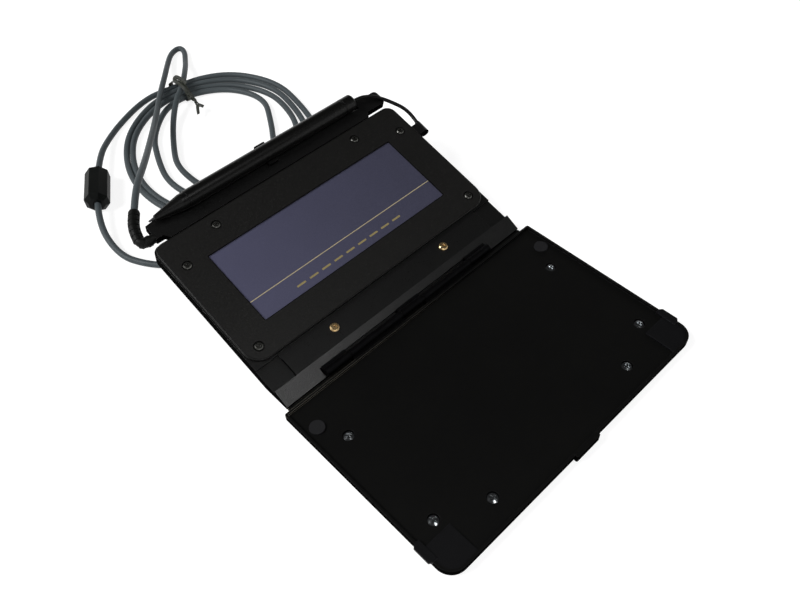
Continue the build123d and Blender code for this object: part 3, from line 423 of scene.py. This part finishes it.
# Moulded polyamide case of the ferrite: near black and dull, a painted highlight on its
# edges.
ferriteNylon = mouldedPlastic("ferriteNylon", {
    "dark": "#050706", "light": "#080a09", "edge": "#0e1010", "edgeMm": 0.4,
    "cloudMm": 9.0, "grainMm": 0.7, "breakupMm": 4.0, "bump": 0.08,
    "rough": (0.4, 0.52), "ior": 1.53, "gloss": 0.08})

# Polyethylene skin of the twist tie: dark olive, waxy, creased.
tiePolyethylene = mouldedPlastic("tiePolyethylene", {
    "dark": "#151813", "light": "#31342c", "edge": "#63665a", "edgeMm": 0.2,
    "cloudMm": 3.0, "grainMm": 0.5, "breakupMm": 1.5, "bump": 0.4,
    "rough": (0.4, 0.6), "ior": 1.51, "gloss": 0.4})

# Polyurethane cord of the pen tether: black right through, with a faint waxy sheen.
tetherUrethane = mouldedPlastic("tetherUrethane", {
    "dark": "#060606", "light": "#0a0a0a", "edge": "#0e0e0f", "edgeMm": 0.1,
    "cloudMm": 4.0, "grainMm": 0.5, "breakupMm": 3.0, "bump": 0.08,
    "rough": (0.36, 0.46), "ior": 1.5, "gloss": 0.12})

# Foil and frame of the display stack behind the glass: pale grey with a black edge.
displayFoil = mouldedPlastic("displayFoil", {
    "dark": "#3a3f4c", "light": "#4a5060", "edge": "#15161a", "edgeMm": 1.2,
    "cloudMm": 20.0, "grainMm": 0.6, "breakupMm": 6.0, "bump": 0.05,
    "rough": (0.3, 0.4), "ior": 1.5, "gloss": 0.5})

# Powder-coated sheet steel of the bezel: warm charcoal, an orange peel too fine to count,
# so it is drawn at 0.7 mm, with sparse pale specks. It rolls over to a dull rim, painted
# black as shade.
coatedSteel = powderCoat("coatedSteel", {
    "dark": "#080807", "light": "#0d0c0b", "speck": "#1c1b19", "edge": "#040404",
    "edgeMm": 0.8, "rimReach": 0.04, "rimGloss": 0.03, "cloudMm": 35.0, "peelMm": 0.7,
    "peelHigh": 0.7, "speckMm": 0.9, "speckSpan": (0.62, 0.75), "speckShare": 0.55,
    "bump": 0.22, "rough": (0.36, 0.48), "gloss": 0.34})

# Black-oxide steel of the small bezel screws: dark, oily, a worn glint on the rims.
oxideSteel = plainMetal("oxideSteel", {
    "dark": "#3c3c3a", "light": "#5a5a57", "stretch": (1.0, 1.0, 1.0), "lineMm": 0.3,
    "patchMm": 1.2, "rough": (0.25, 0.4), "edgeMm": 0.15, "bump": 0.1, "depthMm": 0.05})

# Nickel-plated steel of the cover's screws and the plug: it mirrors the dark cover round it,
# so it looks grey with a few hard glints.
platedNickel = plainMetal("platedNickel", {
    "dark": "#5f6264", "light": "#8f9294", "stretch": (1.0, 4.0, 1.0), "lineMm": 0.4,
    "patchMm": 1.5, "rough": (0.12, 0.22), "edgeMm": 0.1, "bump": 0.1, "depthMm": 0.05})

# Blackened spring steel of the hinge leaves and of the pin through them: no bright line.
hingeSteel = plainMetal("hingeSteel", {
    "dark": "#0c0c0d", "light": "#141415", "stretch": (0.2, 1.0, 1.0), "lineMm": 0.4,
    "patchMm": 6.0, "rough": (0.45, 0.6), "edgeMm": 0.2, "bump": 0.15, "depthMm": 0.05})

# Ground stainless pin stock of the two foot pivots, lines running round the pin.
groundStainless = plainMetal("groundStainless", {
    "dark": "#8a8b8c", "light": "#b4b5b6", "stretch": (3.0, 0.3, 0.3), "lineMm": 0.3,
    "patchMm": 5.0, "rough": (0.25, 0.4), "edgeMm": 0.1, "bump": 0.1, "depthMm": 0.05})

# Turned brass of the two studs: a warm pale gold with a soft glint.
turnedBrass = plainMetal("turnedBrass", {
    "dark": "#b08a58", "light": "#e6cfa0", "stretch": (1.0, 1.0, 1.0), "lineMm": 0.3,
    "patchMm": 2.5, "rough": (0.22, 0.34), "edgeMm": 0.12, "bump": 0.04, "depthMm": 0.05})


def etchedGlass(name, look):
    material, tree, shader, place = startMaterial(name)
    axes = addNode(tree, "SeparateXYZ", {0: place})
    # painted sheen: lighter on the left, falling off to the right
    across = addNode(tree, "MapRange", {"Value": axes.outputs["X"],
                                        "From Min": mm(-look["halfMm"]),
                                        "From Max": mm(look["halfMm"])})
    cloud = addNode(tree, "TexNoise", {"Vector": place, "Scale": perMm(look["cloudMm"]),
                                       "Detail": 2.0})
    shift = addNode(tree, "Math", {0: cloud.outputs["Fac"], 1: look["cloudShare"],
                                   2: -look["cloudShare"] / 2}, operation="MULTIPLY_ADD")
    paintedFalloff = addNode(tree, "Math", {0: across.outputs[0], 1: shift.outputs[0]},
                    operation="ADD", use_clamp=True)
    tone = addNode(tree, "Mix", {0: paintedFalloff.outputs[0], 6: linearColour(look["left"]),
                                 7: linearColour(look["right"])}, data_type="RGBA")
    sparkle = addNode(tree, "TexNoise", {"Vector": place, "Scale": perMm(look["etchMm"]),
                                         "Detail": 2.0})
    # painted sparkle: pale specks of the etch mixed into the colour
    paintedSparkle = addNode(tree, "MapRange", {"Value": sparkle.outputs["Fac"],
                                      "From Min": noiseLow, "From Max": noiseHigh})
    speckled = addNode(tree, "Mix", {0: paintedSparkle.outputs[0], 6: tone.outputs[2],
                                     7: linearColour(look["speck"])}, data_type="RGBA")
    faint = addNode(tree, "Mix", {0: look["speckShare"], 6: tone.outputs[2],
                                  7: speckled.outputs[2]}, data_type="RGBA")
    dull = addNode(tree, "MapRange", {"Value": sparkle.outputs["Fac"],
                                      "From Min": noiseLow, "From Max": noiseHigh,
                                      "To Min": look["rough"][0],
                                      "To Max": look["rough"][1]})
    bump = addNode(tree, "Bump", {"Height": sparkle.outputs["Fac"],
                                  "Strength": look["bump"],
                                  "Distance": mm(look["depthMm"])})
    setInputs(tree, shader, {"Base Color": faint.outputs[2], "Roughness": dull.outputs[0],
                             "Normal": bump.outputs[0], "IOR": look["ior"],
                             "Specular IOR Level": look["gloss"]})
    return material


# Acid-etched cover glass over a reflective liquid crystal: slate blue, with a painted sheen
# that makes it lighter towards the signer's left, and a fine sparkle from the etch painted in
# as pale specks. The etch is a few micrometres across and is drawn at 0.6 mm.
screenGlass = etchedGlass("screenGlass", {
    "left": "#444459", "right": "#343443", "halfMm": 60.0, "cloudMm": 40.0,
    "cloudShare": 0.5, "speck": "#55566c", "speckShare": 0.18, "etchMm": 0.6,
    "bump": 0.06, "depthMm": 0.1, "rough": (0.38, 0.5), "ior": 1.52, "gloss": 0.25})


def circuitLaminate(name, look):
    material, tree, shader, place = startMaterial(name)
    tracks = addNode(tree, "TexBrick", {"Vector": place, "Scale": perMm(look["trackMm"]),
                                        "Color1": linearColour(look["mask"]),
                                        "Color2": linearColour(look["maskDark"]),
                                        "Mortar": linearColour(look["track"]),
                                        "Mortar Size": look["trackShare"],
                                        "Brick Width": look["trackGap"]})
    weave = addNode(tree, "TexNoise", {"Vector": place, "Scale": perMm(look["weaveMm"]),
                                       "Detail": 2.0})
    bump = addNode(tree, "Bump", {"Height": weave.outputs["Fac"],
                                  "Strength": look["bump"],
                                  "Distance": mm(look["depthMm"])})
    setInputs(tree, shader, {"Base Color": tracks.outputs["Color"],
                             "Normal": bump.outputs[0], "IOR": look["ior"],
                             "Roughness": look["rough"]})
    return material


# Glass-epoxy board under green solder mask, with copper tracks showing as paler lines.
solderMaskBoard = circuitLaminate("solderMaskBoard", {
    "mask": "#0f3b24", "maskDark": "#0c301d", "track": "#2d6a42", "trackMm": 2.5,
    "trackShare": 0.06, "trackGap": 1.4, "weaveMm": 0.5, "bump": 0.15, "depthMm": 0.1,
    "ior": 1.55, "rough": 0.35})


def screenInk(name, look):
    # ink printed on the glass: flat, slightly broken up by the etch under it
    material, tree, shader, place = startMaterial(name)
    setInputs(tree, shader, {"Base Color": mottledTone(tree, place, look, look["fleckMm"]),
                             "IOR": look["ior"], "Roughness": look["rough"]})
    return material


lineInk = screenInk("lineInk", {"dark": "#8f8468", "light": "#b0a482", "fleckMm": 0.7,
                                "ior": 1.5, "rough": 0.6})
dashInk = screenInk("dashInk", {"dark": "#6a5f3e", "light": "#948657", "fleckMm": 0.5,
                                "ior": 1.5, "rough": 0.6})
print("materials: %d" % len(bpy.data.materials))


finishes = {
    "housingAbs": ["base_tray", "pen_tray", "pen_clip", "tether_anchor", "rear_foot_right",
                   "rear_foot_left"],
    "coverAbs": ["cover_back", "cover_panel", "cover_pull_tab"],
    "latchAbs": ["corner_latch_right", "corner_latch_left"],
    "coatedSteel": ["face_plate"],
    "screenGlass": ["screen_glass"],
    "displayFoil": ["display_module"],
    "solderMaskBoard": ["pen_sensor_board", "controller_board"],
    "oxideSteel": ["bezel_screws"],
    "platedNickel": ["cover_screws", "plug_shell"],
    "hingeSteel": ["cover_hinge_leaf", "base_hinge_leaf", "hinge_pin"],
    "groundStainless": ["foot_pins"],
    "turnedBrass": ["contact_studs"],
    "nitrileRubber": ["cover_bumpers", "cover_feet", "front_feet", "foot_pad_right",
                      "foot_pad_left"],
    "penAbs": ["pen_barrel", "pen_cap", "pen_nose"],
    "penAcetal": ["pen_tip"],
    "bootElastomer": ["cable_boot"],
    "ferriteNylon": ["ferrite_bead"],
    "plugPvc": ["plug_body"],
    "jacketPvc": ["cord_lead", "cord_coil", "cord_tail"],
    "tetherUrethane": ["pen_tether"],
    "tiePolyethylene": ["twist_tie"],
}

for materialName, nodeNames in finishes.items():
    for nodeName in nodeNames:
        dress(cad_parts[nodeName], bpy.data.materials[materialName])
print("finishes: %d solids" % sum(len(names) for names in finishes.values()))


cable = {
    "radius": 1.75, "sectionSteps": 5,
    "length": 1787.0,                 # lead, coil and tail together
    "bootKnee": (-75.2, 115.0), "bootEnd": (-69.6, 122.6), "bootDepth": -3.0,
    "firstRun": 14.0,
    # down over the coil, round the loose loop beyond the tie, and back into the first turn
    "lead": [(-46.7, 148.9, 34.0), (-28.9, 178.3, 22.0), (-9.3, 209.8, 10.6),
             (7.8, 233.9, 7.4), (22.6, 251.9, 6.0), (31.2, 264.0, 3.6), (41.4, 276.4, 2.1),
             (49.8, 279.0, 1.9), (49.9, 272.2, 1.9), (42.3, 259.6, 2.6), (37.8, 251.5, 5.2),
             (30.3, 240.3, 7.6), (22.0, 230.3, 7.8), (11.5, 221.8, 6.6), (2.2, 211.3, 4.2),
             (-5.3, 200.9, 2.7), (-12.9, 188.3, 2.25), (-18.73, 176.88, 2.25)],
    "coilMiddle": (12.0, 165.0), "coilHeight": 2.25,
    "firstRay": 180.0, "rayStep": 30.0,
    # how far from its middle each point of the coil stands, twelve to a turn; the points
    # stand a little outside the strand, because the line runs inside its points
    "coilReaches": [32.8, 37.0, 40.0, 37.0, 28.7, 24.9, 29.8, 50.5, 62.3, 66.1, 51.9, 42.8,
                    43.7, 46.1, 47.9, 42.2, 36.1, 40.5, 45.4, 57.0, 67.0, 70.9, 64.6, 57.9,
                    56.3, 57.9, 56.4, 47.5, 43.1, 46.6, 49.6, 63.1, 73.3, 75.9, 68.6, 61.6,
                    59.5, 61.5, 60.7, 53.3, 48.7, 52.5, 54.0, 68.3, 79.9, 78.5],
    "tail": [(0.0, 242.8, 2.25), (-14.0, 238.2, 1.9), (-32.6, 228.0, 1.85)],
    "bead": (-63.9, 185.4, 6.3), "beadHeading": (-0.502, -0.865), "beadRun": 26.5,
    "end": [(-81.0, 136.0, 1.85), (-73.5, 119.0, 1.85), (-62.5, 106.0, 2.6),
            (-49.0, 101.0, 4.0), (-37.0, 101.0, 4.0)],
}


def coilPoints():
    # every turn lies outside the one before, tight where the tie holds it, loose elsewhere
    points = []
    for i, reach in enumerate(cable["coilReaches"]):
        ray = math.radians(cable["firstRay"] + i * cable["rayStep"])
        points.append((cable["coilMiddle"][0] + reach * math.cos(ray),
                       cable["coilMiddle"][1] + reach * math.sin(ray), cable["coilHeight"]))
    return points


bootKnee = Vector(padPoint(*cable["bootKnee"], cable["bootDepth"]))
bootEnd = Vector(padPoint(*cable["bootEnd"], cable["bootDepth"]))
leadStart = tuple(bootEnd)
leadSecond = tuple(bootEnd + (bootEnd - bootKnee).normalized() * cable["firstRun"])
beadMiddle = Vector(cable["bead"])
beadAhead = Vector((*cable["beadHeading"], 0.0)).normalized() * cable["beadRun"]
cablePoints = ([leadStart, leadSecond] + cable["lead"] + coilPoints() + cable["tail"]
               + [tuple(beadMiddle - beadAhead), tuple(beadMiddle + beadAhead)]
               + cable["end"])
dataCable = makeRoute("dataCable", [rowPoint(*p) for p in cablePoints])
dataCable.data.bevel_depth = mm(cable["radius"])
dataCable.data.bevel_resolution = cable["sectionSteps"]
dataCable.data.use_fill_caps = True
dress(dataCable, jacketPvc)
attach(dataCable, "base")
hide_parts("cord_lead", "cord_coil", "cord_tail")
print("cable: %d points" % len(cablePoints))


tie = {
    "x": 21.5,
    # y and height round the bundle
    "band": [(222.3, 0.5), (233.5, 0.46), (244.8, 0.5), (245.3, 3.4), (241.5, 6.6),
             (235.0, 10.0), (226.3, 10.5), (222.3, 6.8)],
    "width": 3.4, "thickness": 0.36, "wire": 0.34,
    "twistStart": (21.4, 222.6, 7.2), "twistEnd": (19.8, 210.5, 5.2),
    "twistTurns": 1.6, "twistSteps": 60, "twistRadius": 0.7, "twistWidth": 2.6,
    "whiskers": [[(19.8, 210.6, 5.2), (17.6, 207.8, 4.8), (15.8, 204.4, 3.6)],
                 [(19.8, 210.6, 5.2), (20.2, 208.6, 5.6), (21.4, 206.6, 5.0)]],
    "whiskerSide": (1, 0, 0.4), "whiskerNarrowing": 0.25,
    "fold": [(23.6, 227.0, 10.6), (24.0, 231.5, 11.2), (23.8, 237.6, 10.6),
             (23.0, 240.0, 9.4), (21.4, 237.4, 8.8), (21.2, 232.4, 9.6)],
    "foldSide": (0.6, 0, 0.8),
}

tieMesh = bmesh.new()
bandSection = ribbonSection(mm(tie["width"]), mm(tie["thickness"]), mm(tie["wire"]))
endSection = ribbonSection(mm(tie["twistWidth"]), mm(tie["thickness"]), mm(tie["wire"]))
bandPoints = [rowPoint(tie["x"], y, z) for y, z in tie["band"]]
sweep(tieMesh, routeLine("bandRoute", bandPoints, cyclic=True), bandSection, (1, 0, 0),
      closed=True)
twistFrom = rowPoint(*tie["twistStart"])
twistTo = rowPoint(*tie["twistEnd"])
twistAhead = (twistTo - twistFrom).normalized()
twistSide = twistAhead.cross(Vector((0, 0, 1))).normalized()
twistUp = twistSide.cross(twistAhead)
for strandTurn in (0.0, math.pi):
    strandPoints = []
    for i in range(tie["twistSteps"] + 1):
        twisted = strandTurn + tie["twistTurns"] * 2 * math.pi * i / tie["twistSteps"]
        out = twistSide * math.cos(twisted) + twistUp * math.sin(twisted)
        along = twistFrom.lerp(twistTo, i / tie["twistSteps"])
        strandPoints.append(along + out * mm(tie["twistRadius"]))
    sweep(tieMesh, strandPoints, endSection, twistSide)
for whisker in tie["whiskers"]:
    sweep(tieMesh, routeLine("whiskerRoute", [rowPoint(*p) for p in whisker]), endSection,
          tie["whiskerSide"], narrowing=tie["whiskerNarrowing"])
sweep(tieMesh, routeLine("foldRoute", [rowPoint(*p) for p in tie["fold"]]), endSection,
      tie["foldSide"])
twistedTie = linkMesh("twistedTie", tieMesh)
dress(twistedTie, tiePolyethylene)
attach(twistedTie, "base")
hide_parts("twist_tie")
print("twist tie: made")


tether = {
    "radius": 1.0,
    "length": 42.8,
    "anchor": (81.1, 74.5, -4.0), "anchorLength": 8.0, "anchorTurn": 13.0, "firstRun": 5.4,
    # round the pad's far corner and into the pen's cap
    "points": [(82.9, 93.4, -2.4), (79.6, 98.9, -1.2), (75.2, 104.3, 0.4),
               (69.8, 108.0, 2.1), (64.5, 110.6, 2.0), (59.0, 110.6, 2.0)],
    "followsBase": (83.0, 84.0, -4.0), "followsPen": (61.5, 110.6, 2.0),
}

anchorTurn = math.radians(tether["anchorTurn"])
anchorAhead = Vector((math.sin(anchorTurn), math.cos(anchorTurn), 0.0))
anchorEnd = Vector(tether["anchor"]) + anchorAhead * tether["anchorLength"]
afterAnchor = anchorEnd + anchorAhead * tether["firstRun"]
tetherPoints = [rowPoint(*padPoint(*p))
                for p in [tuple(anchorEnd), tuple(afterAnchor)] + tether["points"]]
tetherLine = routeLine("tetherRoute", tetherPoints)
tetherMesh = bmesh.new()
sweep(tetherMesh, tetherLine, roundSection(mm(tether["radius"])), (0, 0, 1))
penTether = linkMesh("penTether", tetherMesh)
dress(penTether, tetherUrethane)
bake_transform(penTether)
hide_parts("pen_tether")
print("tether: %d points" % len(tetherPoints))


screenPrint = {
    "glassTop": -0.6, "inkRise": 0.03, "inkSink": 0.01, "cornerSteps": 4,
    "lineNear": 48.6, "lineHalf": 57.9, "lineWidth": 0.42, "lineRound": 0.98,
    "rowNear": 41.6, "rowLeft": -35.6, "rowRight": 31.0, "dashCount": 9,
    "dashGapShare": 0.32, "dashHeight": 1.0, "dashRound": 0.5,
}


def inkPatch(bm, left, right, near, far, roundness):
    # a printed patch with rounded ends, a film of ink on the glass
    top = screenPrint["glassTop"] + screenPrint["inkRise"]
    bottom = screenPrint["glassTop"] - screenPrint["inkSink"]
    corners = [(right - roundness, near + roundness, -90),
               (right - roundness, far - roundness, 0),
               (left + roundness, far - roundness, 90),
               (left + roundness, near + roundness, 180)]
    outline = []
    for x, y, start in corners:
        for step in range(screenPrint["cornerSteps"] + 1):
            angle = math.radians(start + 90.0 * step / screenPrint["cornerSteps"])
            outline.append((x + roundness * math.cos(angle),
                            y + roundness * math.sin(angle)))
    upper = [bm.verts.new(rowPoint(*padPoint(x, y, top))) for x, y in outline]
    lower = [bm.verts.new(rowPoint(*padPoint(x, y, bottom))) for x, y in outline]
    bm.faces.new(upper)
    for i in range(len(outline)):
        j = (i + 1) % len(outline)
        bm.faces.new((lower[i], lower[j], upper[j], upper[i]))


lineMesh = bmesh.new()
halfLine = screenPrint["lineWidth"] / 2
inkPatch(lineMesh, -screenPrint["lineHalf"], screenPrint["lineHalf"],
         screenPrint["lineNear"] - halfLine, screenPrint["lineNear"] + halfLine,
         halfLine * screenPrint["lineRound"])
signLine = linkMesh("signLine", lineMesh, smooth=False)
dress(signLine, lineInk)
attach(signLine, "base")

dashMesh = bmesh.new()
pitch = (screenPrint["rowRight"] - screenPrint["rowLeft"]) / (
    screenPrint["dashCount"] - screenPrint["dashGapShare"])
halfDash = screenPrint["dashHeight"] / 2
for i in range(screenPrint["dashCount"]):
    dashLeft = screenPrint["rowLeft"] + i * pitch
    inkPatch(dashMesh, dashLeft, dashLeft + pitch * (1 - screenPrint["dashGapShare"]),
             screenPrint["rowNear"] - halfDash, screenPrint["rowNear"] + halfDash,
             halfDash * screenPrint["dashRound"])
dashRow = linkMesh("dashRow", dashMesh, smooth=False)
dress(dashRow, dashInk)
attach(dashRow, "base")
print("screen print: one line and %d dashes" % screenPrint["dashCount"])


studio = {
    # round floor that turns up into a low wall, in metres
    "radius": 3.0, "wall": 1.2, "cove": 0.5, "coveSteps": 8, "sides": 72,
    "lookAt": (0.0, 0.03, 0.0),
    # name: place, width and length, power; the key stands to the left of the camera's view,
    # and the narrow lamp overhead draws the soft sheen on the left of the pad
    "lamps": {"keyLamp": ((-1.3, 0.8, 1.5), (1.0, 1.0), 42.0),
              "frontLamp": ((-0.9, -1.6, 1.1), (1.2, 1.2), 6.0),
              "fillLamp": ((1.6, -1.3, 0.8), (1.2, 1.2), 5.0),
              "sheenLamp": ((0.15, -0.60, 1.40), (0.25, 0.6), 5.0)},
    "skyStrength": 0.06,
}

floorMesh = bmesh.new()
flatRadius = studio["radius"] - studio["cove"]
profile = [(flatRadius, 0.0)]
for step in range(1, studio["coveSteps"] + 1):
    angle = math.radians(90.0 * step / studio["coveSteps"])
    profile.append((flatRadius + studio["cove"] * math.sin(angle),
                    studio["cove"] - studio["cove"] * math.cos(angle)))
profile.append((studio["radius"], studio["wall"]))
spokes = [math.radians(360.0 / studio["sides"] * i) for i in range(studio["sides"])]
floorRings = [[floorMesh.verts.new((radius * math.cos(spoke), radius * math.sin(spoke),
                                    height)) for spoke in spokes]
              for radius, height in profile]
floorMesh.faces.new(floorRings[0])
for inner, outer in zip(floorRings, floorRings[1:]):
    for i in range(studio["sides"]):
        j = (i + 1) % studio["sides"]
        floorMesh.faces.new((inner[i], outer[i], outer[j], inner[j]))
studioFloor = linkMesh("studioFloor", floorMesh)


def sweepPaper(name, look):
    # seen straight or in a reflection it is paper white, and it still takes the object's
    # shadow; what it throws back on the object is ordinary matt white
    material = bpy.data.materials.new(name)
    material.use_nodes = True
    tree = material.node_tree
    tree.nodes.clear()
    place = addNode(tree, "TexCoord").outputs["Object"]
    matt = addNode(tree, "BsdfDiffuse", {
        "Color": mottledTone(tree, place, look, look["fibreMm"])})
    shadowCatch = addNode(tree, "BsdfDiffuse", {"Color": (*[look["shadowGrey"]] * 3, 1.0)})
    glow = addNode(tree, "Emission", {"Color": (1.0, 1.0, 1.0, 1.0),
                                      "Strength": look["glow"]})
    white = addNode(tree, "AddShader", {0: shadowCatch.outputs[0], 1: glow.outputs[0]})
    rays = addNode(tree, "LightPath")
    seen = addNode(tree, "Math", {0: rays.outputs["Is Camera Ray"],
                                  1: rays.outputs["Is Glossy Ray"]}, operation="ADD")
    seenAny = addNode(tree, "Math", {0: seen.outputs[0],
                                     1: rays.outputs["Is Transmission Ray"]},
                      operation="ADD", use_clamp=True)
    paper = addNode(tree, "MixShader", {0: seenAny.outputs[0], 1: matt.outputs[0],
                                        2: white.outputs[0]})
    addNode(tree, "OutputMaterial", {"Surface": paper.outputs[0]})
    return material


# White paper roll, matt, with a fibre too fine to see that is drawn at 6 mm.
paperSweep = sweepPaper("paperSweep", {
    "dark": "#eeeeec", "light": "#f2f2f0", "fibreMm": 6.0, "shadowGrey": 0.32,
    "glow": 0.82})
dress(studioFloor, paperSweep)

for lampName, (place, size, power) in studio["lamps"].items():
    lampData = bpy.data.lights.new(lampName, "AREA")
    lampData.shape = "ELLIPSE"
    lampData.size, lampData.size_y = size
    lampData.energy = power
    lamp = bpy.data.objects.new(lampName, lampData)
    lamp.location = place
    aim = Vector(studio["lookAt"]) - Vector(place)
    lamp.rotation_euler = aim.to_track_quat("-Z", "Y").to_euler()
    bpy.context.scene.collection.objects.link(lamp)

sky = bpy.data.worlds.new("studioSky")
sky.use_nodes = True
skyInputs = sky.node_tree.nodes["Background"].inputs
skyInputs["Color"].default_value = (1.0, 1.0, 1.0, 1.0)
skyInputs["Strength"].default_value = studio["skyStrength"]
bpy.context.scene.world = sky
bpy.context.scene.view_settings.view_transform = "Standard"
print("studio: floor, %d lamps and sky" % len(studio["lamps"]))
